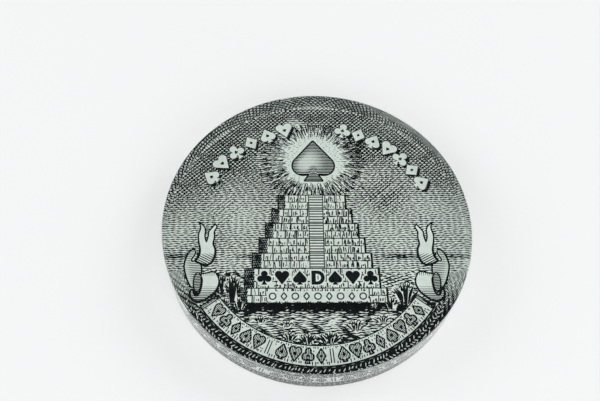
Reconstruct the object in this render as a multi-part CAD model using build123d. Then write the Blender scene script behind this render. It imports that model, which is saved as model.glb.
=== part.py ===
"""Dealer button: a thick clear acrylic disc, printed on its underside and sealed with a film.

The piece lies flat on the table. Origin at the centre of the underside, +Z up through
the clear disc, +Y towards the top of the printed picture. Millimetres throughout.

Bottom to top: backing film, adhesive, white ink, tint ink, line ink, clear disc.
The line ink is a pattern of separate strokes and shapes; the tint ink floods over it and
fills the gaps between the strokes, so the two inks share one flat face under the disc.
"""
import math
import os

from build123d import *

# ---- driving dimensions ---------------------------------------------------------------
DISC_DIAMETER = 76.2            # 3 inch button
ACRYLIC_THICKNESS = 9.525       # 3/8 inch cast sheet
TOP_EDGE_BREAK = 0.20           # polished chamfer round the upper rim; the lower is left sharp

FILM_THICKNESS = 0.20
ADHESIVE_THICKNESS = 0.06
WHITE_INK_THICKNESS = 0.06
TINT_INK_THICKNESS = 0.04       # below the strokes; between them it is as deep as both
LINE_INK_THICKNESS = 0.04
FILM_INSET = 0.35               # the film and its adhesive stop short of the rim

# ---- heights of the layers ------------------------------------------------------------
ADHESIVE_Z = FILM_THICKNESS
WHITE_Z = ADHESIVE_Z + ADHESIVE_THICKNESS
TINT_Z = WHITE_Z + WHITE_INK_THICKNESS
LINE_Z = TINT_Z + TINT_INK_THICKNESS
DISC_Z = LINE_Z + LINE_INK_THICKNESS

DISC_RADIUS = DISC_DIAMETER / 2
PRINT_RADIUS = DISC_RADIUS      # printed before it was cut out, so the inks reach the rim
FILM_RADIUS = DISC_RADIUS - FILM_INSET

# ---- the printed picture --------------------------------------------------------------
PEN = 0.32                      # width of an ordinary drawn line

BORDER_INNER = 28.4             # dark band round the top, with light pips left in it
BORDER_OUTER = 37.4
BORDER_START = 22.0             # degrees, anticlockwise from +X
BORDER_SWEEP = 136.0
BORDER_PIP_RADIUS = 31.6
BORDER_PIP = 4.6
LEFT_PIP_ANGLES = [149.0 - 8.9 * k for k in range(6)]
RIGHT_PIP_ANGLES = [75.8 - 8.0 * k for k in range(7)]

GLORY_CENTRE = (-0.4, 21.3)     # middle of the rayed light round the large spade
SPADE_HEIGHT = 12.4
RAY_COUNT = 36
RAY_INNER = 8.8
RAY_OUTER = 12.6
RAY_STAGGER = 1.4               # every other ray is this much shorter

STEP_BASE_Y = -18.6             # stepped brick mound
STEP_HEIGHTS = [3.8, 5.2, 4.1, 4.1, 4.1, 4.1, 4.1]
MOUND_BASE_HALF = 17.7
MOUND_TOP_HALF = 7.0
SIDE_BASE_WIDTH = 2.6           # shaded left side of the mound
SIDE_TOP_WIDTH = 1.9
STAIR_HALF = 1.8
PLAIN_STEPS = 2                 # the lowest steps have no stair

GLYPH_ROW_Y = -12.05
GLYPH_HEIGHT = 3.7
GLYPH_PITCH = 4.35
BEAD_ROW_Y = -16.9
BEAD_SIZE = 1.9
BEAD_PITCH = 2.75
BEAD_COUNT = 9

HORIZON_Y = -6.4
HORIZON_SPAN = (18.2, 23.4)     # drawn between the mound and the ribbon's free tails
GROUND_Y = -19.5                # dark line that the mound stands on
GROUND_HALF = 19.0
GROUND_WIDTH = 1.2
FIELD_ROWS = 4                  # level strokes below it, each side, shorter row by row
FIELD_TOP_Y = -21.2
FIELD_PITCH = 1.5
FIELD_START = 2.0
FIELD_REACH = 17.5
FIELD_TAPER = 2.6

RIBBON_INNER = 29.3
RIBBON_OUTER = 34.4
RIBBON_START = 214.5
RIBBON_SWEEP = 111.0
RIBBON_GROUPS = [(220.6, 5), (254.0, 4), (280.4, 8)]    # first angle and number of pips
RIBBON_PITCH = 5.6
RIBBON_PIP = 3.7
RIBBON_PIP_SLIMNESS = 0.79      # the ribbon's pips are narrower than they are high
RIBBON_BARS = [248.0, 275.4]
RIBBON_BAR_MARGIN = 1.0
ROLL_CENTRE = (26.4, -14.6)     # rolled ribbon ends, one each side
ROLL_RADIUS = 3.1
ROLL_CORE_RADIUS = 1.0
TAIL_TOP = (27.4, 2.2)          # free ribbon tails above the rolls
TAIL_HALF = 1.5
TAIL_TIP_HALF = 1.0
TAIL_GAP = 1.0                  # between a roll and its tail
TAIL_NOTCH = 2.6

EARTH_INNER = 34.8              # dark ground outside the ribbon
EARTH_OUTER = 37.4
EARTH_START = 205.0
EARTH_SWEEP = 130.0


# ---- small helpers --------------------------------------------------------------------
def polar(radius, degrees):
    return (radius * math.cos(math.radians(degrees)), radius * math.sin(math.radians(degrees)))


def bar(start, end, width=PEN):
    """Straight pen stroke between two points."""
    length = math.dist(start, end)
    angle = math.degrees(math.atan2(end[1] - start[1], end[0] - start[0]))
    middle = ((start[0] + end[0]) / 2, (start[1] + end[1]) / 2)
    return Pos(*middle) * Rot(0, 0, angle) * Rectangle(length, width)


def outline(points):
    return Polygon(*points, align=None)


def ring_sector(inner, outer, start, sweep):
    """Flat piece of a ring about the origin, angles in degrees."""
    end = start + sweep
    return make_face([
        CenterArc((0, 0), outer, start, sweep),
        Line(polar(outer, end), polar(inner, end)),
        CenterArc((0, 0), inner, start, sweep),
        Line(polar(inner, start), polar(outer, start)),
    ])


def teardrop(centre, radius, tip):
    """Circle drawn out to a point by its two tangents."""
    reach = math.dist(centre, tip)
    towards = math.atan2(tip[1] - centre[1], tip[0] - centre[0])
    half = math.acos(radius / reach)
    touch = [
        (centre[0] + radius * math.cos(towards + side * half),
         centre[1] + radius * math.sin(towards + side * half))
        for side in (1, -1)
    ]
    return Pos(*centre) * Circle(radius) + outline([tip, touch[0], centre, touch[1]])


def at(shape, centre, height, turn=0.0):
    """A unit-high shape scaled, turned and put in its place."""
    return Pos(*centre) * Rot(0, 0, turn) * scale(shape, by=height)


# ---- the pips, one unit high and centred ----------------------------------------------
def heart():
    lobes = [teardrop((side * 0.225, 0.235), 0.255, (0, -0.5)) for side in (1, -1)]
    return lobes[0] + lobes[1]


def stem():
    return outline([(-0.05, -0.02), (0.05, -0.02), (0.20, -0.5), (-0.20, -0.5)])


def spade():
    lobes = [teardrop((side * 0.215, -0.13), 0.235, (0, 0.5)) for side in (1, -1)]
    return lobes[0] + lobes[1] + stem()


def club():
    leaves = Pos(0, 0.27) * Circle(0.225)
    for side in (1, -1):
        leaves += Pos(side * 0.25, -0.08) * Circle(0.225)
    return leaves + stem()


def lozenge():
    return outline([(0, 0.5), (-0.36, 0), (0, -0.5), (0.36, 0)])


def bead():
    return Circle(0.42)


def letter_d():
    """Plain heavy D: a straight back and a half-round front."""
    bowl = Pos(-0.08, 0) * Circle(0.5)
    half = bowl & (Pos(0.42, 0) * Rectangle(1.0, 1.0))
    body = half + Pos(-0.23, 0) * Rectangle(0.34, 1.0)
    hole = Pos(-0.08, 0) * Circle(0.23)
    hole_half = hole & (Pos(0.42, 0) * Rectangle(1.0, 1.0))
    return body - hole_half - Pos(-0.115, 0) * Rectangle(0.09, 0.46)


PIPS = [spade(), heart(), club(), lozenge()]


# ---- parts of the picture -------------------------------------------------------------
def border():
    """Dark band round the top of the picture with light pips left out of it."""
    band = ring_sector(BORDER_INNER, BORDER_OUTER, BORDER_START, BORDER_SWEEP)
    for number, angle in enumerate(LEFT_PIP_ANGLES + RIGHT_PIP_ANGLES):
        pip = PIPS[number % len(PIPS)]
        band -= at(pip, polar(BORDER_PIP_RADIUS, angle), BORDER_PIP, angle - 90)
    return [band]


def glory():
    """Large spade with short rays all round it."""
    shapes = [at(spade(), GLORY_CENTRE, SPADE_HEIGHT)]
    for number in range(RAY_COUNT):
        angle = 360 * (number + 0.5) / RAY_COUNT
        outer = RAY_OUTER if number % 2 else RAY_OUTER - RAY_STAGGER
        ends = []
        for radius in (RAY_INNER, outer):
            x, y = polar(radius, angle)
            ends.append((GLORY_CENTRE[0] + x, GLORY_CENTRE[1] + y))
        if math.hypot(*ends[1]) < BORDER_INNER - PEN and ends[1][1] > mound_top() + PEN:
            shapes.append(bar(ends[0], ends[1]))
    return shapes


def mound_top():
    return STEP_BASE_Y + sum(STEP_HEIGHTS)


def mound_half(height):
    """Half width of the mound's front at a height, before it is stepped."""
    share = (height - STEP_BASE_Y) / (mound_top() - STEP_BASE_Y)
    return MOUND_BASE_HALF + share * (MOUND_TOP_HALF - MOUND_BASE_HALF)


def side_width(height):
    share = (height - STEP_BASE_Y) / (mound_top() - STEP_BASE_Y)
    return SIDE_BASE_WIDTH + share * (SIDE_TOP_WIDTH - SIDE_BASE_WIDTH)


def mound():
    """Stepped mound: a line over each step, its right edge, its dark left side, a stair."""
    shapes = []
    low = STEP_BASE_Y
    for number, step in enumerate(STEP_HEIGHTS):
        high = low + step
        half = mound_half(low + step / 2)
        side = side_width(low + step / 2)
        shapes.append(bar((-half, high - PEN), (half, high - PEN)))
        shapes.append(bar((half, low), (half, high - PEN / 2)))
        foot = low + PEN
        outer_foot = foot + side if number == 0 else foot
        shapes.append(outline([
            (-half, foot), (-half, high - PEN / 2),
            (-half - side, high - PEN / 2), (-half - side, outer_foot),
        ]))
        if number >= PLAIN_STEPS:
            shapes.append(bar((-STAIR_HALF, low + PEN), (-STAIR_HALF, high - PEN / 2)))
            shapes.append(bar((STAIR_HALF, low + PEN), (STAIR_HALF, high - PEN / 2)))
            tread = low + step / 2
            shapes.append(bar((-STAIR_HALF, tread), (STAIR_HALF, tread), PEN / 2))
        low = high
    return shapes


def glyph_row():
    """Row of heavy marks across the mound, the D in the middle, and beads below it."""
    glyphs = [club(), heart(), spade(), letter_d(), spade(), heart(), club()]
    first = -GLYPH_PITCH * (len(glyphs) - 1) / 2
    shapes = [
        at(glyph, (first + GLYPH_PITCH * number, GLYPH_ROW_Y), GLYPH_HEIGHT)
        for number, glyph in enumerate(glyphs)
    ]
    first = -BEAD_PITCH * (BEAD_COUNT - 1) / 2
    for number in range(BEAD_COUNT):
        centre = (first + BEAD_PITCH * number, BEAD_ROW_Y)
        mark = lozenge() if number % 2 else bead()
        shapes.append(at(mark, centre, BEAD_SIZE))
    return shapes


def land():
    """Horizon on both sides, the line the mound stands on, and the earth by the rim."""
    shapes = [bar((-GROUND_HALF, GROUND_Y), (GROUND_HALF, GROUND_Y), GROUND_WIDTH)]
    for side in (-1, 1):
        near, far = HORIZON_SPAN
        shapes.append(bar((side * near, HORIZON_Y), (side * far, HORIZON_Y)))
        for row in range(FIELD_ROWS):
            y = FIELD_TOP_Y - FIELD_PITCH * row
            reach = FIELD_REACH - FIELD_TAPER * row
            shapes.append(bar((side * FIELD_START, y), (side * reach, y)))
    shapes.append(ring_sector(EARTH_INNER, EARTH_OUTER, EARTH_START, EARTH_SWEEP))
    return shapes


def ribbon():
    """Ribbon round the foot of the picture, with its pips, rolled ends and free tails."""
    shapes = [
        ring_sector(RIBBON_INNER, RIBBON_INNER + PEN, RIBBON_START, RIBBON_SWEEP),
        ring_sector(RIBBON_OUTER - PEN, RIBBON_OUTER, RIBBON_START, RIBBON_SWEEP),
    ]
    for angle in RIBBON_BARS:
        inner = polar(RIBBON_INNER + RIBBON_BAR_MARGIN, angle)
        outer = polar(RIBBON_OUTER - RIBBON_BAR_MARGIN, angle)
        shapes.append(bar(inner, outer))
    middle = (RIBBON_INNER + RIBBON_OUTER) / 2
    for first, count in RIBBON_GROUPS:
        for number in range(count):
            angle = first + RIBBON_PITCH * number
            pip = PIPS[(number + count) % len(PIPS)]
            slim = scale(pip, by=(RIBBON_PIP_SLIMNESS, 1, 1))
            shapes.append(at(slim, polar(middle, angle), RIBBON_PIP, angle + 90))
    for side in (-1, 1):
        x, y = ROLL_CENTRE
        roll = Circle(ROLL_RADIUS) - Circle(ROLL_RADIUS - PEN) + Circle(ROLL_CORE_RADIUS)
        shapes.append(Pos(side * x, y) * roll)
        top_x, top_y = TAIL_TOP
        foot_y = y + ROLL_RADIUS + TAIL_GAP
        for edge in (-TAIL_HALF, TAIL_HALF):
            shapes.append(bar((side * top_x + edge, foot_y), (side * top_x + edge, top_y)))
        notch = (side * top_x, top_y - TAIL_NOTCH)
        for tip in (-TAIL_TIP_HALF, TAIL_TIP_HALF):
            shapes.append(bar((side * top_x + tip, top_y), notch))
    return shapes


# ---- the pieces -----------------------------------------------------------------------
def make_clear_disc():
    body = extrude(Circle(DISC_RADIUS), ACRYLIC_THICKNESS)
    upper_rim = body.edges().group_by(Axis.Z)[-1]
    return Pos(0, 0, DISC_Z) * chamfer(upper_rim, TOP_EDGE_BREAK)


def make_line_ink():
    picture = Sketch() + (border() + glory() + mound() + glyph_row() + land() + ribbon())
    return Pos(0, 0, LINE_Z) * extrude(picture, LINE_INK_THICKNESS, dir=(0, 0, 1))


def make_tint_ink(line_ink):
    depth = TINT_INK_THICKNESS + LINE_INK_THICKNESS
    flood = Pos(0, 0, TINT_Z) * extrude(Circle(PRINT_RADIUS), depth)
    return flood - line_ink


def make_layer(radius, bottom, thickness):
    return Pos(0, 0, bottom) * extrude(Circle(radius), thickness)


def main():
    os.makedirs("parts", exist_ok=True)
    line_ink = make_line_ink()
    pieces = {
        "clear_disc": make_clear_disc(),
        "line_ink": line_ink,
        "tint_ink": make_tint_ink(line_ink),
        "white_ink": make_layer(PRINT_RADIUS, WHITE_Z, WHITE_INK_THICKNESS),
        "adhesive_layer": make_layer(FILM_RADIUS, ADHESIVE_Z, ADHESIVE_THICKNESS),
        "backing_film": make_layer(FILM_RADIUS, 0, FILM_THICKNESS),
    }
    for node, piece in pieces.items():
        export_step(piece, f"parts/{node}.step")
        print(node, "solids", len(piece.solids()), "volume", round(piece.volume, 2))


main()
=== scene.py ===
import math

import bpy
import numpy as np
from mathutils import Matrix, Vector


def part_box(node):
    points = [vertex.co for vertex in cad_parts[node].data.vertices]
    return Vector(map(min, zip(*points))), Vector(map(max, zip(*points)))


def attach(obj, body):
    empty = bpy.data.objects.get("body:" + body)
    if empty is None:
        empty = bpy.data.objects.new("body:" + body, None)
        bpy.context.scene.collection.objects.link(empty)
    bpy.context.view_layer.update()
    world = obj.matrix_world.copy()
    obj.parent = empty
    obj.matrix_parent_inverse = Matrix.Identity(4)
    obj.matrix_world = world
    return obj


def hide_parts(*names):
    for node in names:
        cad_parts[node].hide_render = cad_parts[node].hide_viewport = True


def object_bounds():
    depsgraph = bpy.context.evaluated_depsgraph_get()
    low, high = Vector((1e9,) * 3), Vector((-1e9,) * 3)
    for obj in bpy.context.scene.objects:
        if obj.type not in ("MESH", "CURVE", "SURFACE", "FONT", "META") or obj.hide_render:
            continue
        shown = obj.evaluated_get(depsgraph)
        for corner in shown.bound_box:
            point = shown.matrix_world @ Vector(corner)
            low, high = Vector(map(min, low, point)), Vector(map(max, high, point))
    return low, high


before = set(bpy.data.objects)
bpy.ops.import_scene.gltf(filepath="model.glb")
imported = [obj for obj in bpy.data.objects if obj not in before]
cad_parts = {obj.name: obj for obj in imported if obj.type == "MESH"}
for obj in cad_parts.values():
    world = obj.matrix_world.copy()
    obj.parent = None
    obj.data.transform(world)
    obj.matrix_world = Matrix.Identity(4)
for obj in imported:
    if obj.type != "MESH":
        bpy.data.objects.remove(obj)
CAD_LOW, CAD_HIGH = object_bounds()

# A thick clear acrylic dealer button with an engraved-style print on its underside.
# The print is drawn as real strokes: thin closed solids of ink in the acrylic's lower face.
# The picture is laid out in millimetres, +Y to its top; meshes are in metres.

MM = 0.001

# ---- heights and radii, from the CAD frame ---------------------------------------------
def height_of(node, corner):
    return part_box(node)[corner][2]


DISC_RADIUS = (CAD_HIGH[0] - CAD_LOW[0]) / 2
DISC_TOP = CAD_HIGH[2]
LINE_TOP = height_of("line_ink", 1)
LINE_BOTTOM = height_of("line_ink", 0)
TINT_BOTTOM = height_of("tint_ink", 0)
WHITE_BOTTOM = height_of("white_ink", 0)
PRINT_RADIUS = DISC_RADIUS / MM - 0.02

# ---- layout of the picture, in millimetres ---------------------------------------------
GLORY = (-0.4, 21.3)                # centre of the rays
SPADE_HEIGHT = 12.4
GLORY_CORE = 8.2                    # clear light round the spade
GLORY_EDGE = 14.5                   # where the rays have run out
RAY_LIMIT = 32.5                    # and how near the rim they may come
LONG_RAYS = 62
SHORT_RAYS = 1150

BORDER_RADIUS = 31.6                # row of light pips round the top
BORDER_PIP = 4.6
SHADOW_LIMIT = 33.9                 # their shadows come no nearer the rim
LEFT_PIP_ANGLES = [149.0 - 8.9 * k for k in range(6)]
RIGHT_PIP_ANGLES = [75.8 - 8.0 * k for k in range(7)]

STEP_BASE = -18.6                   # stepped brick mound
STEP_HEIGHTS = [3.8, 5.2, 4.1, 4.1, 4.1, 4.1, 4.1]
MOUND_BASE_HALF = 17.7
MOUND_TOP_HALF = 7.0
SIDE_BASE_WIDTH = 2.6
SIDE_TOP_WIDTH = 1.9
STAIR_HALF = 1.8
COURSE = 2.05                       # height of a course of bricks
PLAIN_STEPS = 2                     # the lowest steps have no stair
TREAD = 0.78                        # spacing of the stair's treads

GLYPH_Y = -12.05
GLYPH_HEIGHT = 3.7
GLYPH_PITCH = 4.35
GLYPH_HALO = 0.38                   # clear margin round each
BEAD_Y = -16.9
BEAD_SIZE = 1.9
BEAD_PITCH = 2.75
BEAD_COUNT = 9
BEAD_BAND_HALF = 1.3                # half the height of the clear band they lie in

HORIZON = -6.4
CLOUDS = [    # x, y, reach, change of tone
    (-15.0, 10.5, 5.5, 1.0), (27.0, 5.5, 7.0, -1.4), (12.5, 6.0, 3.5, -1.6),
    (15.0, 19.0, 5.0, 0.3), (-26.0, -1.0, 4.0, 0.8), (-19.0, 2.0, 4.0, -0.7),
]
LEVEL_PITCH = 0.60                  # spacing of the sky's level and slanting strokes
SLANT_PITCH = 0.78
RIBBON_INNER = 29.3
RIBBON_OUTER = 34.4
RIBBON_START = 214.5
RIBBON_SWEEP = 111.0
RIBBON_GROUPS = [(220.6, 5), (254.0, 4), (280.4, 8)]
RIBBON_STEP = 5.6                   # degrees from one pip to the next
RIBBON_BARS = [248.0, 275.4]
RIBBON_PIP = (3.0, 3.7)             # width and height
FLECK_ROWS = [(35.35, 56, 0.95), (36.2, -34, 0.9), (37.0, 18, 0.5)]    # radius, slant, share

SCUFF_AT = 48.0                     # dulled stretch of the acrylic's wall, degrees round
SCUFF_REACH = 25.0

FOOT_BREAK = 0.02                   # the disc's lower and upper edge breaks
TOP_BREAK = 0.20
SHADING_HOLD = 0.02                 # rings this near the wall's two bends keep its shading level
FILM_GAP = 0.01                     # the acrylic's mesh ends this far below the white ink
TINT_DROP = 0.01                    # the flood ink's top is this far below the strokes' tops
TURNED_SIDES = 360
ACRYLIC_IOR = 1.49

rng = np.random.default_rng(7)


# ---- plane geometry --------------------------------------------------------------------
def points_of(*pairs):
    return np.array(pairs, dtype=float)


def polar(radius, degrees):
    angle = np.radians(degrees)
    return np.stack([radius * np.cos(angle), radius * np.sin(angle)], axis=-1)


def arc(centre, radius, start, end, count=16):
    return np.array(centre) + polar(radius, np.linspace(start, end, count))


def placed(loop, centre, size=1.0, turn=0.0):
    c, s = math.cos(math.radians(turn)), math.sin(math.radians(turn))
    return (loop * size) @ np.array([[c, s], [-s, c]]) + np.array(centre)


def mirrored(loop):
    return (loop * [-1, 1])[::-1]


def smooth(value, low, high):
    t = np.clip((value - low) / (high - low), 0, 1)
    return t * t * (3 - 2 * t)


def depth_in(points, loop):
    """Distance of each point from a closed loop's edge, positive inside it."""
    a = loop[None]
    edge = np.roll(loop, -1, axis=0)[None] - a
    away = points[:, None] - a
    share = (away * edge).sum(-1) / np.maximum((edge * edge).sum(-1), 1e-12)
    gap = away - edge * np.clip(share, 0, 1)[..., None]
    nearest = np.sqrt((gap * gap).sum(-1).min(1))
    next_y = a[..., 1] + edge[..., 1]
    spans = (a[..., 1] > points[:, None, 1]) != (next_y > points[:, None, 1])
    rise = np.where(edge[..., 1] == 0, 1e-12, edge[..., 1])
    cross_x = a[..., 0] + away[..., 1] / rise * edge[..., 0]
    inside = (spans & (points[:, None, 0] < cross_x)).sum(1) % 2 == 1
    return np.where(inside, nearest, -nearest)


def linked(name, data):
    """A new object for some data, put in the scene."""
    made = bpy.data.objects.new(name, data)
    bpy.context.scene.collection.objects.link(made)
    return made


class Stencil:
    """Shapes already drawn, which later strokes keep clear of."""

    def __init__(self):
        self.cuts = []

    def cut(self, loops, margin=0.0):
        for loop in loops:
            centre = loop.mean(0)
            reach = np.hypot(*(loop - centre).T).max()
            self.cuts.append((loop, margin, centre, reach))

    def room(self, points):
        """How far each point is clear of every cut; negative inside one."""
        room = np.full(len(points), 9.0)
        for loop, margin, centre, reach in self.cuts:
            near = np.hypot(*(points - centre).T) < reach + margin + 1.0
            if near.any():
                clear = -depth_in(points[near], loop) - margin
                room[near] = np.minimum(room[near], clear)
        return room


class Plate:
    """A group of ink strokes and shapes that becomes one mesh of thin closed solids."""

    def __init__(self, name, layer=0, node="line_ink"):
        self.name = name
        self.node = node
        self.top = LINE_TOP / MM - 0.001 * layer    # a micron apart, so crossings don't fight
        self.bottom = LINE_BOTTOM / MM
        self.vertices = []
        self.faces = []
        self.count = 0

    def add(self, corners, faces):
        radius = np.hypot(corners[:, 0], corners[:, 1])
        corners[:, :2] *= np.minimum(1.0, PRINT_RADIUS / np.maximum(radius, 1e-6))[:, None]
        self.vertices.append(corners)
        self.faces.extend([tuple(i + self.count for i in face) for face in faces])
        self.count += len(corners)

    def stroke(self, line, width, room=None, least=0.045):
        """A pen stroke along line. It lifts where it is thinner than least or out of room."""
        width = np.broadcast_to(np.asarray(width, dtype=float), len(line))
        free = width - least
        if room is not None:
            free = np.minimum(free, room)
        drawn = free > 0
        if not drawn.any():
            return
        edges = np.flatnonzero(np.diff(np.concatenate([[0], drawn.astype(int), [0]])))
        for first, end in zip(edges[::2], edges[1::2]):
            run = [line[first:end]]
            wide = [width[first:end]]
            if first > 0:
                back = free[first] / (free[first] - free[first - 1])
                run.insert(0, line[first:first + 1] * (1 - back) + line[first - 1:first] * back)
                wide.insert(0, [width[first] * (1 - back) + width[first - 1] * back])
            if end < len(line):
                ahead = free[end - 1] / (free[end - 1] - free[end])
                run.append(line[end - 1:end] * (1 - ahead) + line[end:end + 1] * ahead)
                wide.append([width[end - 1] * (1 - ahead) + width[end] * ahead])
            self.ribbon(np.concatenate(run), np.concatenate(wide))

    def ribbon(self, line, width):
        steps = np.hypot(*np.diff(line, axis=0).T)
        kept = np.concatenate([[True], steps > 0.02])
        line, width = line[kept], width[kept]
        if len(line) < 2 or np.hypot(*np.diff(line, axis=0).T).sum() < 0.12:
            return
        ahead = np.gradient(line, axis=0)
        ahead /= np.maximum(np.hypot(*ahead.T), 1e-9)[:, None]
        side = np.stack([-ahead[:, 1], ahead[:, 0]], axis=-1) * width[:, None] / 2
        n = len(line)
        corners = np.empty((n, 4, 3))
        corners[:, 0, :2] = corners[:, 3, :2] = line + side
        corners[:, 1, :2] = corners[:, 2, :2] = line - side
        corners[:, :2, 2] = self.top
        corners[:, 2:, 2] = self.bottom
        faces = [(0, 3, 2, 1)]
        for i in range(n - 1):
            a, b = 4 * i, 4 * i + 4
            faces += [(a + 1, b + 1, b, a), (a + 3, b + 3, b + 2, a + 2),
                      (a, b, b + 3, a + 3), (a + 2, b + 2, b + 1, a + 1)]
        e = 4 * (n - 1)
        faces.append((e + 1, e + 2, e + 3, e))
        self.add(corners.reshape(-1, 3), faces)

    def solid(self, loop):
        """A filled shape. The loop may run either way round."""
        following = np.roll(loop, -1, axis=0)
        area = (loop[:, 0] * following[:, 1] - following[:, 0] * loop[:, 1]).sum()
        if area < 0:
            loop = loop[::-1]
        n = len(loop)
        corners = np.empty((2 * n, 3))
        corners[:n, :2] = corners[n:, :2] = loop
        corners[:n, 2] = self.top
        corners[n:, 2] = self.bottom
        faces = [tuple(range(n)), tuple(range(2 * n - 1, n - 1, -1))]
        faces += [(i, n + i, n + (i + 1) % n, (i + 1) % n) for i in range(n)]
        self.add(corners, faces)

    def outline(self, loop, width, room=None, step=0.25):
        """A stroke round a closed loop."""
        closed = np.concatenate([loop, loop[:1]])
        line = resampled(closed, step)
        if callable(room):
            room = room(line)
        if callable(width):
            width = width(line)
        self.stroke(line, width, room)

    def build(self, material):
        mesh = bpy.data.meshes.new(self.name)
        mesh.from_pydata((np.concatenate(self.vertices) * MM).tolist(), [], self.faces)
        mesh.materials.append(material)
        piece = linked(self.name, mesh)
        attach(piece, "root")
        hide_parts(self.node)


def resampled(line, step):
    """The same line with points no further apart than step, its corners kept."""
    pieces = []
    for a, b in zip(line[:-1], line[1:]):
        count = max(1, math.ceil(np.hypot(*(b - a)) / step))
        share = np.arange(count)[:, None] / count
        pieces.append(a + (b - a) * share)
    pieces.append(line[-1:])
    return np.concatenate(pieces)


def curve(knots, count=24):
    """Smooth line through a few knots (Catmull-Rom)."""
    knots = np.asarray(knots, dtype=float)
    knots = np.concatenate([[2 * knots[0] - knots[1]], knots, [2 * knots[-1] - knots[-2]]])
    line = []
    per = max(2, count // (len(knots) - 3))
    for a, b, c, d in zip(knots, knots[1:], knots[2:], knots[3:]):
        t = np.linspace(0, 1, per, endpoint=False)[:, None]
        line.append(0.5 * (2 * b + (c - a) * t + (2 * a - 5 * b + 4 * c - d) * t ** 2
                           + (3 * b - a - 3 * c + d) * t ** 3))
    line.append(knots[-2:-1])
    return np.concatenate(line)


def closed_curve(knots, count=60):
    """Smooth closed loop through a few knots."""
    knots = [knots[-1], *knots, knots[0], knots[1]]
    line = curve(knots, count)
    per = (len(line) - 1) // (len(knots) - 1)
    return line[per:-per - 1]


def widened(line, width):
    """Closed loop round a centre line."""
    width = np.broadcast_to(np.asarray(width, dtype=float), len(line))
    ahead = np.gradient(line, axis=0)
    ahead /= np.hypot(*ahead.T)[:, None]
    side = np.stack([-ahead[:, 1], ahead[:, 0]], axis=-1) * width[:, None] / 2
    return np.concatenate([line - side, (line + side)[::-1]])


# ---- pips: lists of closed loops, one unit high and centred ----------------------------
def lobed(tip_y, lobe_y, lobe_x, radius):
    """Heart-like loop: two round lobes drawn to a tip."""
    reach = math.hypot(lobe_x, tip_y - lobe_y)
    towards = math.degrees(math.atan2(tip_y - lobe_y, -lobe_x))
    half = math.degrees(math.acos(radius / reach))
    up = 1 if tip_y < lobe_y else -1
    start = towards + up * half
    notch = math.degrees(math.atan2(up * math.sqrt(radius ** 2 - lobe_x ** 2), -lobe_x))
    if up > 0:
        notch += 0 if notch > start else 360
        start -= 360 if start > notch else 0
    else:
        start += 360 if start < notch else 0
    right = arc((lobe_x, lobe_y), radius, start, notch, 22)
    left = (right * [-1, 1])[::-1]
    return np.concatenate([[(0, tip_y)], right, left[1:]])


STEM = points_of((-0.045, -0.05), (0.045, -0.05), (0.075, -0.3), (0.20, -0.5),
                 (-0.20, -0.5), (-0.075, -0.3))
HEART = [lobed(-0.5, 0.235, 0.225, 0.255)]
SPADE = [lobed(0.5, -0.13, 0.215, 0.235), STEM]
CLUB = [arc((0, 0.27), 0.225, 0, 345, 22), arc((0.25, -0.08), 0.225, 0, 345, 22),
        arc((-0.25, -0.08), 0.225, 0, 345, 22), STEM,
        points_of((-0.12, -0.1), (0.12, -0.1), (0.1, 0.15), (-0.1, 0.15))]
LOZENGE = [points_of((0, 0.5), (-0.36, 0), (0, -0.5), (0.36, 0))]
BEAD = [arc((0, 0), 0.42, 0, 345, 20)]
LETTER_D = [points_of((-0.40, -0.5), (-0.12, -0.5), (-0.12, 0.5), (-0.40, 0.5)),
            np.concatenate([points_of((-0.2, -0.5)), arc((-0.02, 0), 0.5, -90, 90, 24),
                            points_of((-0.2, 0.5), (-0.2, 0.27)),
                            arc((-0.04, 0), 0.27, 90, -90, 18), points_of((-0.2, -0.27))])]
PIPS = [SPADE, HEART, CLUB, LOZENGE]


def placed_all(loops, centre, size, turn=0.0):
    return [placed(loop, centre, size, turn) for loop in loops]


# ---- hatching --------------------------------------------------------------------------
WAVES = [(rng.uniform(-1, 1, 2), rng.uniform(0, 2 * math.pi)) for _ in range(10)]


def cloud(x, y, scale=6.0):
    """Slow uneven field, about -1 to 1."""
    total = np.zeros_like(x)
    for turn, phase in WAVES:
        total += np.sin((x * turn[0] + y * turn[1]) * 2 * math.pi / scale + phase)
    return total / 3.2


def slanting(along, across, degrees):
    """Points given by how far they lie along and across a direction."""
    c, s = math.cos(math.radians(degrees)), math.sin(math.radians(degrees))
    return np.stack([along * c - across * s, along * s + across * c], axis=-1)


def evenly(share):
    """The same falloff everywhere."""
    return lambda x, y: share + 0 * x


def hatch(plate, angle, pitch, width, keep, wave=None, step=0.4):
    """Parallel strokes over the whole disc, their width and room given by functions of place."""
    reach = PRINT_RADIUS
    along = np.arange(-reach, reach + step, step)
    for number in range(int(2 * reach / pitch)):
        across = (number + 0.5) * pitch - reach
        phase = rng.uniform(0, 2 * math.pi)
        sway = wave(along, across, phase) if wave else 0 * along
        line = slanting(along, across + sway, angle)
        if not (np.hypot(*line.T) < reach).any():
            continue
        wide = width(line[:, 0], line[:, 1], along, phase)
        room = np.minimum(keep(line), reach - np.hypot(*line.T))
        plate.stroke(line, wide, room)


def ground_line(x):
    """Height of the land's upper edge on each side of the mound."""
    return -10.2 + 0.35 * np.sin(x * 0.9) - 0.12 * np.maximum(0, 24 - np.abs(x))


def glory_light(x, y):
    """0 in the clear light round the spade, 1 beyond the last of the rays."""
    dx, dy = x - GLORY[0], y - GLORY[1]
    angle = np.arctan2(dy, dx)
    uneven = 0.9 * np.sin(angle * 5 + 0.7) + 0.7 * np.sin(angle * 11 + 2.0)
    uneven += 1.4 * smooth(np.cos(angle - 0.7), 0.3, 1.0)
    return smooth(np.hypot(dx * 0.94, dy) + uneven, GLORY_CORE, GLORY_EDGE)


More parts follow.
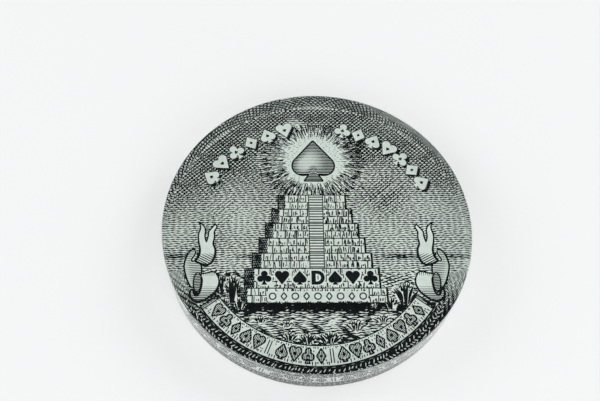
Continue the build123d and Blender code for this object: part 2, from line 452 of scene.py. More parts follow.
def sky_tone(x, y):
    """Share of the sky that is inked: nearly black round the top, lighter over the horizon."""
    rim = smooth(y + 0.012 * x * x - 0.05 * x, 15.0, 29.0)
    drift = cloud(x * 0.6 + y * 0.8, y * 1.3 - x * 0.5, 17.0)
    # side makes the sky lighter towards the left and right rim: painted light, for the brightness
    # that reflections in the rim give there.
    side = smooth(np.abs(x), 29.0, 36.0) * (1 - rim)
    for at_x, at_y, reach, change in CLOUDS:
        drift = drift + change * np.exp(-((x - at_x) ** 2 + (y - at_y) ** 2) / reach ** 2)
    return (0.455 + 0.27 * rim + 0.10 * drift * (1 - 0.5 * rim) - 0.06 * side) * glory_light(x, y)


# ---- the picture, from front to back ----------------------------------------------------
def mound_profile():
    """(low, high, half width, side width) of each step, from the ground up."""
    total = sum(STEP_HEIGHTS)
    low = STEP_BASE
    steps = []
    for rise in STEP_HEIGHTS:
        share = (low + rise / 2 - STEP_BASE) / total
        half = MOUND_BASE_HALF + share * (MOUND_TOP_HALF - MOUND_BASE_HALF)
        side = SIDE_BASE_WIDTH + share * (SIDE_TOP_WIDTH - SIDE_BASE_WIDTH)
        steps.append((low, low + rise, half, side))
        low += rise
    return steps


STEPS = mound_profile()


def draw_glyph_row(plate, stencil):
    """Heavy marks across the mound, with a light halo round each, and a row of beads."""
    row = [CLUB, HEART, SPADE, LETTER_D, SPADE, HEART, CLUB]
    first = -GLYPH_PITCH * (len(row) - 1) / 2
    for number, glyph in enumerate(row):
        loops = placed_all(glyph, (first + GLYPH_PITCH * number, GLYPH_Y), GLYPH_HEIGHT)
        for loop in loops:
            plate.solid(loop)
        stencil.cut(loops, GLYPH_HALO)
    first = -BEAD_PITCH * (BEAD_COUNT - 1) / 2
    for number in range(BEAD_COUNT):
        shape = (BEAD, LOZENGE)[number % 2]
        loops = placed_all(shape, (first + BEAD_PITCH * number, BEAD_Y), BEAD_SIZE)
        plate.outline(loops[0], 0.32)
    reach = BEAD_PITCH * BEAD_COUNT / 2
    low, high = BEAD_Y - BEAD_BAND_HALF, BEAD_Y + BEAD_BAND_HALF
    stencil.cut([points_of((-reach, low), (reach, low), (reach, high), (-reach, high))])


def modelled(plate, loops, edge, angle, pitch, width, falloff):
    """Outline round several overlapping loops as one shape, and hatching inside it."""
    for index, loop in enumerate(loops):
        others = Stencil()
        others.cut(loops[:index] + loops[index + 1:])
        plate.outline(loop, edge, others.room)
        earlier = Stencil()
        earlier.cut(loops[:index])
        shade(plate, loop, earlier, angle, pitch, width, falloff)


def draw_ribbon(plate, stencil):
    """The long ribbon round the foot: pips in three groups, ticks along both hems."""
    middle = (RIBBON_INNER + RIBBON_OUTER) / 2
    marks = Stencil()
    for first, count in RIBBON_GROUPS:
        for number in range(count):
            angle = first + RIBBON_STEP * number
            pip = PIPS[(number + count) % len(PIPS)]
            centre = polar(middle - 0.05, angle)
            loops = placed_all(pip, centre, RIBBON_PIP, angle + 90)
            modelled(plate, loops, 0.36, angle, 0.36, 0.2, evenly(1))
            for loop in placed_all(pip, centre, np.array(RIBBON_PIP) * 0.3, angle + 90):
                plate.solid(loop)
            marks.cut(loops, 0.3)
    for angle in RIBBON_BARS:
        for shift in (-0.6, 0.6):
            line = polar(np.linspace(RIBBON_INNER + 0.8, RIBBON_OUTER - 0.8, 8), angle + shift)
            plate.stroke(line, 0.26)
            marks.cut([widened(line, 0.3)], 0.3)
    rows = [(RIBBON_INNER + 0.35, 0.6, 1.0), (RIBBON_INNER + 1.2, 0.4, 0.55),
            (RIBBON_OUTER - 1.75, 0.45, 0.6), (RIBBON_OUTER - 1.15, 0.8, 1.0)]
    for degrees in np.arange(RIBBON_START + 2.4, RIBBON_START + RIBBON_SWEEP - 2.4, 1.12):
        for start, length, share in rows:
            angle = degrees + rng.uniform(-0.3, 0.3)
            reach = length * rng.uniform(0.5, 1.1)
            line = polar(np.linspace(start, start + reach, 5), angle)
            if rng.uniform() < share:
                plate.stroke(line, np.linspace(0.3, 0.2, 5), marks.room(line))
    hem = np.linspace(RIBBON_START, RIBBON_START + RIBBON_SWEEP, 200)
    plate.stroke(polar(RIBBON_INNER, hem), 0.30)
    plate.stroke(polar(RIBBON_OUTER, hem), 0.42)
    loop = np.concatenate([polar(RIBBON_OUTER, hem[::4]), polar(RIBBON_INNER, hem[::-4])])
    across = np.linspace(RIBBON_INNER, RIBBON_OUTER, 12)
    for end, inward in ((0, 1), (-1, -1)):
        for shift, width in ((0, 0.4), (0.75, 0.2), (1.5, 0.3)):
            plate.stroke(polar(across, hem[end] + inward * shift), width)
    stencil.cut([loop], 0.1)


def shade(plate, loop, stencil, angle, pitch, width, falloff):
    """Short hatching inside a loop, thickest where falloff(x, y) is 1."""
    low, high = loop.min(0), loop.max(0)
    centre, reach = (low + high) / 2, np.hypot(*(high - low)) / 2
    along = np.arange(-reach, reach, 0.2)
    for across in np.arange(-reach, reach, pitch):
        line = centre + slanting(along, across, angle)
        room = np.minimum(depth_in(line, loop) - 0.1, stencil.room(line))
        plate.stroke(line, width * falloff(line[:, 0], line[:, 1]), room)


def draw_scroll(plate, stencil, side):
    """Rolled ribbon end and its forked tail, on the right; side -1 mirrors it."""
    def put(loop):
        return loop if side > 0 else mirrored(loop)

    roll = put(closed_curve([
        (27.2, -10.8), (25.3, -10.5), (24.3, -11.9), (24.1, -13.6), (24.8, -15.5), (26.2, -16.9),
        (27.8, -18.0), (29.6, -18.1), (30.8, -17.1), (31.0, -15.7), (30.4, -15.1), (30.0, -16.1),
        (29.4, -16.7), (28.7, -15.8), (28.3, -14.2), (28.2, -12.5), (28.6, -11.2)], 90))
    mouth = put(arc((0, 0), 1.0, 0, 345, 24) * [0.95, 2.5] + [29.35, -13.2])
    tail = put(np.concatenate([
        curve([(27.3, -8.8), (26.1, -8.0), (25.35, -6.2), (25.3, -4.4), (25.85, -2.9),
               (25.6, -1.0), (25.7, 0.4), (25.1, 1.7), (25.5, 2.6)], 40)[:-1],
        curve([(25.5, 2.6), (26.3, 1.6), (27.1, 0.4), (27.2, -0.9), (27.6, -2.4)], 16)[:-1],
        curve([(27.6, -2.4), (28.0, -0.9), (27.95, 0.8), (28.4, 2.0), (29.6, 3.1)], 16)[:-1],
        curve([(29.6, 3.1), (29.2, 1.5), (29.65, -0.4), (29.5, -2.4), (29.1, -4.6),
               (29.4, -6.3), (30.2, -7.6)], 30)[:-1],
        curve([(30.2, -7.6), (28.8, -8.3), (27.3, -8.8)], 8)[:-1]]))
    back = put(closed_curve([
        (30.0, -5.0), (30.9, -4.5), (31.8, -5.3), (32.5, -7.0), (32.8, -9.0), (32.4, -11.0),
        (31.6, -13.2), (30.6, -14.6), (29.3, -13.5), (28.5, -11.0), (28.5, -9.2), (28.9, -7.9)]))
    fold = put(curve([(30.1, -4.9), (30.35, -6.0), (31.0, -7.1), (30.8, -7.7), (30.1, -7.5)], 20))

    def heavy_below(y):
        return lambda line: 0.38 + 0.22 * smooth(y - line[:, 1], 0.0, 5.0)

    clear = Stencil()
    plate.outline(roll, heavy_below(-12.5))
    shade(plate, roll, clear, 0, 0.46, 0.25, lambda x, y: smooth(-y, 13.0, 17.2))
    shade(plate, roll, clear, 90, 0.5, 0.16, lambda x, y: smooth(-y, 12.0, 10.9))
    clear.cut([roll], 0.12)
    plate.outline(mouth, 0.36, clear.room)
    shade(plate, mouth, clear, 4, 0.42, 0.30, evenly(0.9))
    clear.cut([mouth], 0.1)
    plate.outline(tail, heavy_below(-1.0))
    slant = 28 if side > 0 else 152
    shade(plate, tail, Stencil(), slant, 0.56, 0.27, lambda x, y: smooth(-y, 5.0, 6.6))
    clear.cut([tail], 0.1)
    plate.stroke(fold, 0.4, clear.room(fold))
    clear.cut([widened(fold, 0.4)], 0.1)
    plate.outline(back, 0.44, clear.room)
    shade(plate, back, clear, 3, 0.48, 0.2,
          lambda x, y: 1 - 0.7 * smooth(np.abs(x) - 0.25 * (y + 9), 31.0, 32.4))
    stencil.cut([roll, mouth, tail, back], 0.04)


def draw_tuft(plate, stencil, foot, height, count, spread, thick):
    """A plant of curved leaves, fattest in the middle, each clear of the ones before it."""
    foot = np.array(foot)
    order = sorted(range(count), key=lambda number: abs(number - (count - 1) / 2))
    for number in order:
        lean = (number + 0.5) / count * 2 - 1 + rng.uniform(-0.06, 0.06)
        tall = height * rng.uniform(0.75, 1.0) * (1 - 0.4 * lean * lean)
        tip = foot + [lean * spread, tall]
        elbow = foot + [lean * spread * rng.uniform(0.35, 0.6), tall * 0.55]
        leaf = curve([foot + [lean * spread * 0.3, 0], elbow, tip], 14)
        share = np.linspace(0, 1, len(leaf))
        width = thick * (0.55 + 0.6 * np.sin(math.pi * share ** 1.2)) * (1 - 0.75 * share ** 5)
        room = stencil.room(leaf)
        plate.stroke(leaf, width, room)
        shown = room > 0
        if shown.sum() > 2:
            stencil.cut([widened(leaf[shown], width[shown])], 0.1)


def draw_mound(plate, stencil):
    """Stepped brick mound with a stair up its front and a dark left side."""
    for number, (low, high, half, _) in enumerate(STEPS):
        has_stair = number >= PLAIN_STEPS
        courses = max(1, round((high - low) / COURSE))
        tall = (high - low) / courses
        for course in range(courses):
            draw_course(plate, stencil, low + course * tall, tall, half, has_stair)
        cap = resampled(points_of((-half, high), (half, high)), 0.3)
        plate.stroke(cap, 0.26, stencil.room(cap))
        edge = resampled(points_of((half, low), (half - 0.1, high)), 0.3)
        plate.stroke(edge, 0.5, stencil.room(edge))
    for low, high, _, _ in STEPS[PLAIN_STEPS:]:
        for x in (-STAIR_HALF, STAIR_HALF):
            line = resampled(points_of((x, low), (x, high)), 0.3)
            plate.stroke(line, 0.24, stencil.room(line))
        for y in np.arange(low + 0.4, high - 0.2, TREAD):
            line = resampled(points_of((-STAIR_HALF, y), (STAIR_HALF, y)), 0.3)
            plate.stroke(line, 0.3, stencil.room(line))
    front = []
    for low, high, half, _ in STEPS:
        front.append(points_of((-half, low), (half, low), (half, high), (-half, high)))
    stencil.cut(front, 0.0)


def draw_course(plate, stencil, low, tall, half, has_stair):
    """One course: broken bed line, joints, and short upright shading in each brick."""
    gap = STAIR_HALF + 0.25 if has_stair else -1.0

    def room(line):
        return np.minimum(stencil.room(line), np.abs(line[:, 0]) - gap)

    bed = resampled(points_of((-half, low), (half, low)), 0.3)
    wide = 0.24 + 0.10 * np.sin(bed[:, 0] * 2.3 + low) + 0.08 * rng.uniform(-1, 1, len(bed))
    plate.stroke(bed, wide, room(bed))
    x = -half + rng.uniform(0.2, 1.2)
    while x < half - 0.3:
        brick = rng.uniform(1.7, 2.9)
        joint = resampled(points_of((x, low), (x + 0.05, low + tall)), 0.3)
        plate.stroke(joint, rng.uniform(0.2, 0.34), room(joint))
        inner = x + 0.45
        while inner < min(x + brick - 0.25, half - 0.2):
            top = low + tall * rng.uniform(0.35, 0.95)
            foot = low + tall * rng.uniform(0.0, 0.3)
            hook = rng.uniform(-0.3, 0.3)
            line = curve([(inner, foot), (inner + hook * 0.4, (foot + top) / 2),
                          (inner + hook, top)], 8)
            if rng.uniform() < 0.92:
                dark = 0.05 * cloud(line[:, 0], line[:, 1], 9.0) + 0.06 * smooth(line[:, 0], 0, 12)
                plate.stroke(line, rng.uniform(0.18, 0.35) + dark, room(line))
            inner += rng.uniform(0.42, 0.62)
        x += brick


def draw_mound_side(plate, stencil):
    """The mound's shaded flank: close upright hatching crossed by thin light courses."""
    loops = []
    for low, high, half, side in STEPS:
        lift = side * 0.9 if low == STEP_BASE else 0.0
        loops.append(points_of((-half, low), (-half, high), (-half - side, high),
                               (-half - side, low + lift)))
    for loop in loops:
        plate.outline(loop, 0.34, stencil.room)
        shade(plate, loop, stencil, 70, 0.40, 0.35, lambda x, y: 0.9 + 0.25 * cloud(x, y, 2.0))
        shade(plate, loop, stencil, 4, 0.62, 0.38, lambda x, y: 0.8 + 0.3 * cloud(x, y, 1.6))
    stencil.cut(loops, 0.1)


def draw_spade(plate, stencil):
    """Large pip in the middle of the rays, modelled with close level hatching."""
    loops = placed_all(SPADE, GLORY, SPADE_HEIGHT)
    lit = np.array(GLORY) + [-1.6, -0.6]

    def falloff(x, y):
        points = np.stack([x, y], -1)
        deep = depth_in(points, loops[0])
        glow = smooth(np.hypot(*(points - lit).T), 5.6, 1.0)
        return 1.0 - 0.8 * smooth(deep, 0.2, 1.8) * glow

    modelled(plate, loops, 0.42, 0, 0.46, 0.33, falloff)
    stencil.cut(loops, 0.6)


def draw_border_pips(plate, stencil):
    """Light pips round the top, each with a thin edge and a heavy shadow at its lower right."""
    bodies = Stencil()
    shadows = []
    for number, angle in enumerate(LEFT_PIP_ANGLES + RIGHT_PIP_ANGLES):
        centre = polar(BORDER_RADIUS, angle)
        pip = PIPS[number % len(PIPS)]
        size = np.array([1.2 if pip is LOZENGE else 1.04, 1.0]) * BORDER_PIP
        loops = placed_all(pip, centre, size, angle - 90)
        for index, loop in enumerate(loops):
            others = Stencil()
            others.cut(loops[:index] + loops[index + 1:])
            plate.outline(loop, 0.2, others.room)
            shadows.append(loop + [0.6, -0.7])
        for loop in placed_all(pip, centre, size * 0.22, angle - 90):
            plate.solid(loop)
        bodies.cut(loops, 0.1)
    for loop in shadows:
        shade(plate, loop, bodies, 30, 0.3, 0.4,
              lambda x, y: 1.0 * (np.hypot(x, y) < SHADOW_LIMIT))
    stencil.cuts.extend(bodies.cuts)


def draw_rays(plate, stencil):
    """Fine rays round the spade, thicker outwards, with longer bold ones among them."""
    def ray(angle, start, end, width):
        line = np.array(GLORY) + polar(np.linspace(start, end, 8), angle) * [1.06, 1.0]
        plate.stroke(line, width, np.minimum(stencil.room(line), RAY_LIMIT - np.hypot(*line.T)))

    for number in range(LONG_RAYS):
        angle = 360 * number / LONG_RAYS + rng.uniform(-1, 1)
        downward = max(0.0, -math.sin(math.radians(angle)))
        start = rng.uniform(7.8, 9.4) - downward
        ray(angle, start, start + rng.uniform(3.2, 7.0), np.linspace(0.1, 0.19 + 0.2 * downward, 8))
    for _ in range(SHORT_RAYS):
        radius = GLORY_CORE - 1.4 + (GLORY_EDGE - GLORY_CORE - 1.2) * rng.uniform(0, 1) ** 0.8
        reach = rng.uniform(0.5, 1.7)
        ray(rng.uniform(0, 360), radius, radius + reach, rng.uniform(0.12, 0.20))


TUFTS = [    # foot, height, leaves, spread, thickness
    ((21.2, -19.0), 6.2, 13, 3.6, 0.62), ((17.8, -20.4), 3.6, 7, 2.6, 0.46),
    ((13.6, -19.8), 2.2, 5, 1.2, 0.32), ((9.0, -25.6), 3.0, 11, 3.2, 0.40),
    ((15.4, -23.8), 2.4, 9, 3.2, 0.36), ((2.6, -28.9), 3.4, 11, 3.6, 0.46),
    ((-2.6, -29.0), 3.0, 11, 3.2, 0.44), ((-7.0, -28.2), 2.6, 9, 2.4, 0.42),
    ((-7.6, -24.8), 1.8, 9, 2.6, 0.34), ((-13.8, -23.6), 1.9, 9, 3.2, 0.36),
    ((-20.8, -18.6), 8.2, 13, 2.3, 0.66), ((-23.2, -15.8), 5.2, 9, 1.4, 0.58),
    ((-18.9, -20.2), 3.4, 9, 3.0, 0.44), ((-22.6, -20.4), 3.4, 7, 1.9, 0.46),
    ((-24.2, -18.4), 2.4, 5, 1.2, 0.40),
]


def draw_ground(plate, stencil):
    """Dark earth under the mound, broken level strokes below it, and tufts of grass."""
    def keep(line):
        x, y = line.T
        return np.minimum(np.minimum(-18.7 - y, RIBBON_OUTER - np.hypot(x, y)), stencil.room(line))

    def width(x, y, along, phase):
        shadow = smooth(y, -22.0, -20.2)
        flecks = 0.12 * np.sin(along * 1.9 + phase) + 0.08 * np.sin(along * 5.3 + 2 * phase)
        lowest = smooth(-y, 24.5, 28.0)
        return 0.325 + 0.25 * shadow + 0.12 * lowest + flecks * (1 - 0.6 * shadow) \
            + 0.11 * cloud(x, y, 6.0)

    def sway(along, across, phase):
        return 0.13 * np.sin(along * 1.3 + phase) + 0.08 * np.sin(along * 3.3 - phase)

    for foot, height, count, spread, thick in TUFTS:
        draw_tuft(plate, stencil, foot, height, count, spread, thick)
    for number, y in enumerate((-18.95, -19.45, -19.95, -20.4)):
        x = np.arange(-19.0 - number, 21.5 + number, 0.3)
        line = np.stack([x, y + 0.1 * np.sin(x * 1.7 + number) + 0.06 * np.sin(x * 5.1)], -1)
        ragged = 0.62 - 0.12 * number + (0.05 + 0.1 * number) * np.sin(x * (2.3 + number))
        plate.stroke(line, ragged, np.minimum(stencil.room(line), 29.0 - np.hypot(*line.T)))
    hatch(plate, 0, 0.55, width, keep, sway, 0.3)


def draw_land(plate, stencil):
    """Level country on both sides of the mound, in short broken strokes."""
    def keep(line):
        x, y = line.T
        inland = np.minimum(ground_line(x) - y, y + 18.9)
        return np.minimum(np.minimum(inland, 34.7 - np.hypot(x, y)), stencil.room(line))

    def width(x, y, along, phase):
        broken = 0.12 * np.sin(along * 2.7 + phase) + 0.10 * np.sin(along * 6.1 + 3 * phase)
        near_mound = 0.2 * smooth(-x, 16.0, 22.0) * (x > -25)
        near_rim = 0.14 * smooth(np.hypot(x, y), 29.0, 34.0)
        return 0.25 + broken + near_mound + near_rim + 0.08 * cloud(x, y, 4.0)

    def sway(along, across, phase):
        return 0.14 * np.sin(along * 2.3 + phase) + 0.08 * np.sin(along * 5.0 - phase)

    hatch(plate, 0, 0.52, width, keep, sway, 0.28)


def draw_earth(plate, flecks, stencil):
    """Dark ground between the ribbon and the rim, with rows of light slanting flecks on it."""
    for radius, slant, share in FLECK_ROWS:
        degrees = 197.0
        while degrees < 343.0:
            degrees += rng.uniform(1.1, 2.1)
            half = polar(rng.uniform(0.28, 0.55), degrees + 90 + slant + rng.uniform(-14, 14))
            centre = polar(radius + rng.uniform(-0.2, 0.2), degrees)
            line = curve([centre - half, centre + polar(0.1, degrees), centre + half], 8)
            belly = np.sin(math.pi * np.linspace(0, 1, len(line)))
            if rng.uniform() < share and stencil.room(line).min() > 0.1:
                flecks.solid(widened(line, 0.05 + 0.2 * belly))
    angles = np.arange(194, 346, 0.4)
    for radius in np.arange(34.8, PRINT_RADIUS, 0.28):
        line = polar(radius + 0.06 * np.sin(angles * 1.7 + radius * 5), angles)
        above = ground_line(line[:, 0]) - line[:, 1]
        room = np.minimum(stencil.room(line), above)
        fade = smooth(above, 0.0, 16.0)
        plate.stroke(line, 0.13 + 0.23 * fade + 0.03 * rng.uniform(-1, 1, len(line)), room)


def draw_sky(level, rising, falling, stencil):
    """Level waved lines over the whole sky, crossed by slanting ones towards the dark rim."""
    def open_sky(line):
        return np.minimum(stencil.room(line), line[:, 1] - ground_line(line[:, 0]))

    def shares(x, y):
        """Coverage left to the level, rising and falling strokes, whose gaps multiply."""
        tone = sky_tone(x, y)
        level = np.minimum(tone, 0.47 - 0.12 * smooth(tone, 0.6, 0.8))
        rest = np.clip((1 - tone) / (1 - level), 0.05, 1.0)
        return level, 1 - rest ** 0.62, 1 - rest ** 0.38

    def level_width(x, y, along, phase):
        dash = along * 4.4 + phase + 1.6 * np.sin(along * 0.8 + 2 * phase)
        beat = 0.14 * np.sin(dash) + 0.04 * np.sin(along * 8.3 + 3 * phase)
        far = smooth(np.abs(y - HORIZON), 0.9, 0.2) * (y < 0)
        return LEVEL_PITCH * shares(x, y)[0] + beat + far * (0.2 + 0.12 * cloud(x, y, 9.0))

    def sway(along, across, phase):
        swing = np.sin(along * 2.0 + 1.1 * across + 1.5 * np.sin(along * 0.23 + across * 0.31))
        tremble = 0.045 * np.sin(along * 4.7 + phase)
        return 0.08 * swing + tremble + 0.03 * np.sin(along * 1.3 - phase)

    def rising_width(x, y, along, phase):
        right = np.exp(-((x - 18) ** 2 + (y - 12) ** 2) / 50)
        left = np.exp(-((x + 25) ** 2 + (y - 9) ** 2) / 50)
        rain = (0.26 * right + 0.15 * left) * (0.8 + 0.5 * np.sin(phase * 3))
        beat = 0.06 * np.sin(along * 5.0 + phase)
        return SLANT_PITCH * shares(x, y)[1] + beat + rain * glory_light(x, y)

    def falling_width(x, y, along, phase):
        return SLANT_PITCH * shares(x, y)[2] + 0.04 * np.sin(along * 5.0 + phase)

    hatch(level, 0, LEVEL_PITCH, level_width, open_sky, sway, 0.36)
    hatch(rising, 42, SLANT_PITCH, rising_width, open_sky, None, 0.4)
    hatch(falling, -42, SLANT_PITCH, falling_width, open_sky, None, 0.4)


# ---- materials ---------------------------------------------------------------------------
class Nodes:
    """A new material's node tree, with short ways to add and join nodes."""

    def __init__(self, name):
        self.material = bpy.data.materials.new(name)
        self.material.use_nodes = True
        self.tree = self.material.node_tree
        self.tree.nodes.clear()
        self.output = self.add("ShaderNodeOutputMaterial")
        self.shader = self.add("ShaderNodeBsdfPrincipled")
        self.join(self.shader, "BSDF", self.output, "Surface")

    def add(self, kind, **values):
        node = self.tree.nodes.new(kind)
        for key, value in values.items():
            setattr(node, key, value)
        return node

    def join(self, source, out, target, into):
        self.tree.links.new(source.outputs[out], target.inputs[into])

    def noise(self, scale, detail=4.0, roughness=0.55):
        where = self.add("ShaderNodeTexCoord")
        noise = self.add("ShaderNodeTexNoise")
        noise.inputs["Scale"].default_value = scale
        noise.inputs["Detail"].default_value = detail
        noise.inputs["Roughness"].default_value = roughness
        self.join(where, "Object", noise, "Vector")
        return noise

    def ramp(self, source, out, stops):
        ramp = self.add("ShaderNodeValToRGB")
        elements = ramp.color_ramp.elements
        while len(elements) < len(stops):
            elements.new(0.5)
        for element, (place, colour) in zip(elements, stops):
            element.position = place
            element.color = (*colour, 1)
        self.join(source, out, ramp, "Fac")
        return ramp

    def spread(self, source, out, low, high):
        spread = self.add("ShaderNodeMapRange")
        spread.inputs["To Min"].default_value = low
        spread.inputs["To Max"].default_value = high
        self.join(source, out, spread, "Value")
        return spread

    def bump(self, source, out, strength, distance):
        bump = self.add("ShaderNodeBump")
        bump.inputs["Strength"].default_value = strength
        bump.inputs["Distance"].default_value = distance
        self.join(source, out, bump, "Height")
        self.join(bump, "Normal", self.shader, "Normal")


def ink_material(name, low, high, roughness, shine=0.0):
    """A thin layer of slightly uneven colour. Ink bonded to the acrylic has no shine of its own."""
    nodes = Nodes(name)
    mottle = nodes.noise(900.0)
    ramp = nodes.ramp(mottle, "Fac", [(0.35, low), (0.68, high)])
    nodes.join(ramp, "Color", nodes.shader, "Base Color")
    grain = nodes.noise(5000.0, 2.0)
    gloss = nodes.spread(grain, "Fac", roughness - 0.08, roughness + 0.08)
    nodes.join(gloss, "Result", nodes.shader, "Roughness")
    nodes.shader.inputs["Specular IOR Level"].default_value = shine
    return nodes.material


def film_material():
    """Dark protective film with a fine pebbled grain."""
    nodes = Nodes("backing_film")
    mottle = nodes.noise(350.0)
    ramp = nodes.ramp(mottle, "Fac", [(0.3, (0.055, 0.062, 0.064)), (0.7, (0.085, 0.094, 0.096))])
    nodes.join(ramp, "Color", nodes.shader, "Base Color")
    grain = nodes.noise(6000.0, 3.0)
    gloss = nodes.spread(grain, "Fac", 0.42, 0.62)
    nodes.join(gloss, "Result", nodes.shader, "Roughness")
    nodes.bump(grain, "Fac", 0.25, 0.00003)
    return nodes.material


def acrylic_material(name, roughness, tint, scuff=0.0):
    """Clear cast acrylic, with a trace of handling haze and maybe a scuffed stretch at one side. A
    grey tint in its colour is painted shade.
    """
    nodes = Nodes(name)
    shader = nodes.shader
    shader.inputs["Base Color"].default_value = (*tint, 1)
    shader.inputs["Transmission Weight"].default_value = 1.0
    shader.inputs["IOR"].default_value = ACRYLIC_IOR
    haze = nodes.noise(120.0, 6.0, 0.7)
    gloss = nodes.spread(haze, "Fac", roughness * 0.4, roughness * 1.6)
    if not scuff:
        nodes.join(gloss, "Result", shader, "Roughness")
        return nodes.material
    where = nodes.add("ShaderNodeTexCoord")
    facing = nodes.add("ShaderNodeVectorMath", operation="DOT_PRODUCT")
    facing.inputs[1].default_value = (*polar(1 / DISC_RADIUS, SCUFF_AT), 0)
    nodes.join(where, "Object", facing, 0)
    stretch = nodes.spread(facing, "Value", 0.0, scuff)
    stretch.interpolation_type = "SMOOTHSTEP"
    stretch.inputs["From Min"].default_value = math.cos(math.radians(SCUFF_REACH))
    split = nodes.add("ShaderNodeSeparateXYZ")
    nodes.join(where, "Object", split, "Vector")
    upper = nodes.spread(split, "Z", 0.0, 1.0)
    upper.interpolation_type = "SMOOTHSTEP"
    upper.inputs["From Min"].default_value = 0.3 * DISC_TOP
    upper.inputs["From Max"].default_value = 0.8 * DISC_TOP
    total = nodes.add("ShaderNodeMath", operation="MULTIPLY_ADD")
    nodes.join(stretch, "Result", total, 0)
    nodes.join(upper, "Result", total, 1)
    nodes.join(gloss, "Result", total, 2)
    nodes.join(total, "Value", shader, "Roughness")
    return nodes.material


# ---- solids of revolution ------------------------------------------------------------------
def lathe(name, profile, materials):
    """Closed solid turned from a profile of (radius, height) points in metres, bottom to top.

    The two caps are flat and have the first material, and the bands between have the last."""
    turns = np.arange(TURNED_SIDES) * 2 * math.pi / TURNED_SIDES
    rings = [np.stack([r * np.cos(turns), r * np.sin(turns), np.full(TURNED_SIDES, z)], -1)
             for r, z in profile]
    vertices = np.concatenate(rings)
    faces = [tuple(range(TURNED_SIDES - 1, -1, -1))]
    for band in range(len(profile) - 1):
        a = band * TURNED_SIDES
        b = a + TURNED_SIDES
        for i in range(TURNED_SIDES):
            j = (i + 1) % TURNED_SIDES
            faces.append((a + i, a + j, b + j, b + i))
    faces.append(tuple(range(len(vertices) - TURNED_SIDES, len(vertices))))
    mesh = bpy.data.meshes.new(name)
    mesh.from_pydata(vertices.tolist(), [], faces)
    for material in materials:
        mesh.materials.append(material)
    for polygon in mesh.polygons[1:-1]:
        polygon.use_smooth = True
        polygon.material_index = len(materials) - 1
    piece = linked(name, mesh)
    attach(piece, "root")
    return piece


def make_acrylic():
    """The clear disc. It reaches down round the inks, which are bonded to it without air."""
    lower = FOOT_BREAK * MM
    upper = TOP_BREAK * MM
    held = SHADING_HOLD * MM
    floor = WHITE_BOTTOM - FILM_GAP * MM
    profile = [(DISC_RADIUS - lower, floor), (DISC_RADIUS, floor + lower),
               (DISC_RADIUS, floor + lower + held), (DISC_RADIUS, DISC_TOP - upper - held)]
    for turn in np.radians(np.linspace(0, 90, 7)):
        profile.append((DISC_RADIUS - upper + upper * math.cos(turn),
                        DISC_TOP - upper + upper * math.sin(turn)))
    face = acrylic_material("clear_acrylic_face", 0.012, (1.0, 1.0, 1.0))
    # The wall's grey tint is painted shade: the same acrylic as the face, darkened on its side.
    wall = acrylic_material("clear_acrylic_wall_painted_shade", 0.03, (0.66, 0.71, 0.73), 0.30)
    disc = lathe("clear_disc_visual", profile, [face, wall])
    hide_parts("clear_disc")


def make_tint(paper):
    """The pale flood ink. Its top lies just under the tops of the strokes, which stand in it."""
    radius = PRINT_RADIUS * MM
    profile = [(radius, TINT_BOTTOM), (radius, LINE_TOP - TINT_DROP * MM)]
    disc = lathe("tint_ink_visual", profile, [paper])
    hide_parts("tint_ink")


def paint_cad_layers():
    white = ink_material("white_ink", (0.70, 0.72, 0.70), (0.78, 0.79, 0.77), 0.7)
    glue = ink_material("adhesive", (0.12, 0.13, 0.13), (0.17, 0.18, 0.18), 0.35, 0.1)
    film = film_material()
    for node, material in (("white_ink", white), ("adhesive_layer", glue), ("backing_film", film)):
        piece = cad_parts[node]
        if not piece.material_slots:
            piece.data.materials.append(material)
        for place in piece.material_slots:
            place.link = "OBJECT"
            place.material = material


def make_print(paper):
    """Every stroke of the picture, drawn from front to back."""
    ink = ink_material("line_ink", (0.005, 0.007, 0.008), (0.011, 0.014, 0.015), 0.5)
    stencil = Stencil()
    marks = Plate("line_ink_marks", 0)
    draw_glyph_row(marks, stencil)
    draw_ribbon(marks, stencil)
    for side in (1, -1):
        draw_scroll(marks, stencil, side)
    mound = Plate("line_ink_mound", 1)
    grass = Plate("line_ink_ground", 2)
    draw_mound(mound, stencil)
    draw_mound_side(mound, stencil)
    draw_spade(marks, stencil)
    draw_border_pips(marks, stencil)
    rays = Plate("line_ink_rays", 3)
    draw_rays(rays, stencil)
    draw_ground(grass, stencil)
    draw_land(grass, stencil)
    flecks = Plate("tint_ink_flecks", 1, "tint_ink")
    draw_earth(grass, flecks, stencil)
    flecks.build(paper)
    level = Plate("line_ink_sky_level", 4)
    rising = Plate("line_ink_sky_rising", 5)
    falling = Plate("line_ink_sky_falling", 6)
    draw_sky(level, rising, falling, stencil)
    for plate in (marks, mound, grass, rays, level, rising, falling):
        plate.build(ink)


# ---- stage -------------------------------------------------------------------------------
CAMERA_AT = (-10.44, -88.21, 185.52)
CAMERA_AIM = (-3.90, 11.26, 0.40)
CAMERA_ROLL = 3.42
CAMERA_LENS = 48.0
FLOOR_REACH = 6.0
LAMP_SIZE = 0.9
LAMPS = [    # name, place in metres, watts
    ("key", (1.05, 0.60, 0.85), 12.0), ("left", (-1.25, 0.20, 0.80), 9.0),
    ("front_left", (-0.55, -1.15, 0.90), 9.0), ("front_right", (0.70, -1.05, 0.90), 9.0),
]


def make_camera():
    data = bpy.data.cameras.new("camera")
    data.lens = CAMERA_LENS
    data.sensor_width = 36.0
    data.clip_start = 0.01
    camera = linked("camera", data)
    at = Vector(CAMERA_AT) * MM
    aim = Vector(CAMERA_AIM) * MM
    look = (aim - at).to_track_quat("-Z", "Y").to_matrix().to_4x4()
    camera.matrix_world = Matrix.Translation(at) @ look @ Matrix.Rotation(
        math.radians(CAMERA_ROLL), 4, "Z")
    bpy.context.scene.camera = camera


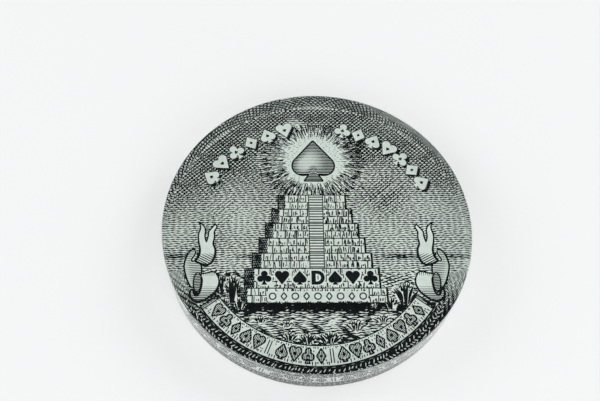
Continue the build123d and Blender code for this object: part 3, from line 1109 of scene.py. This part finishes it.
def make_floor():
    """Pale floor. A little light of its own keeps the shadows as faint as in a light tent."""
    nodes = Nodes("floor")
    mottle = nodes.noise(3.0)
    ramp = nodes.ramp(mottle, "Fac", [(0.2, (0.275, 0.28, 0.28)), (0.8, (0.295, 0.30, 0.30))])
    nodes.join(ramp, "Color", nodes.shader, "Base Color")
    nodes.shader.inputs["Roughness"].default_value = 0.75
    nodes.shader.inputs["Specular IOR Level"].default_value = 0.1
    nodes.shader.inputs["Emission Color"].default_value = (1.0, 1.0, 1.0, 1)
    nodes.shader.inputs["Emission Strength"].default_value = 0.53
    mesh = bpy.data.meshes.new("floor")
    reach = FLOOR_REACH
    mesh.from_pydata([(-reach, -reach, 0), (reach, -reach, 0), (reach, reach, 0),
                      (-reach, reach, 0)], [], [(0, 1, 2, 3)])
    mesh.materials.append(nodes.material)
    floor = linked("floor", mesh)


def make_lamp(name, at, power):
    """A round soft lamp that faces the button."""
    data = bpy.data.lights.new(name, "AREA")
    data.shape = "DISK"
    data.size = LAMP_SIZE
    data.energy = power
    lamp = linked(name, data)
    lamp.location = at
    lamp.rotation_euler = (-Vector(at)).to_track_quat("-Z", "Y").to_euler()


def make_light():
    """Pale room, darker overhead so that the top face stays clear, and four soft lamps."""
    world = bpy.data.worlds.new("studio")
    world.use_nodes = True
    tree = world.node_tree
    where = tree.nodes.new("ShaderNodeTexCoord")
    split = tree.nodes.new("ShaderNodeSeparateXYZ")
    ramp = tree.nodes.new("ShaderNodeValToRGB")
    tree.links.new(where.outputs["Generated"], split.inputs["Vector"])
    tree.links.new(split.outputs["Z"], ramp.inputs["Fac"])
    tree.links.new(ramp.outputs["Color"], tree.nodes["Background"].inputs["Color"])
    ramp.color_ramp.elements[0].position = 0.30
    ramp.color_ramp.elements[0].color = (1.36, 1.37, 1.39, 1)
    ramp.color_ramp.elements[1].position = 0.68
    ramp.color_ramp.elements[1].color = (0.13, 0.14, 0.15, 1)
    bpy.context.scene.world = world
    for name, at, power in LAMPS:
        make_lamp(name, at, power)
    bpy.context.scene.view_settings.view_transform = "Standard"


make_acrylic()
paper_ink = ink_material("tint_ink", (0.78, 0.87, 0.79), (0.85, 0.93, 0.86), 0.6)
make_tint(paper_ink)
paint_cad_layers()
make_print(paper_ink)
make_floor()
make_light()
make_camera()
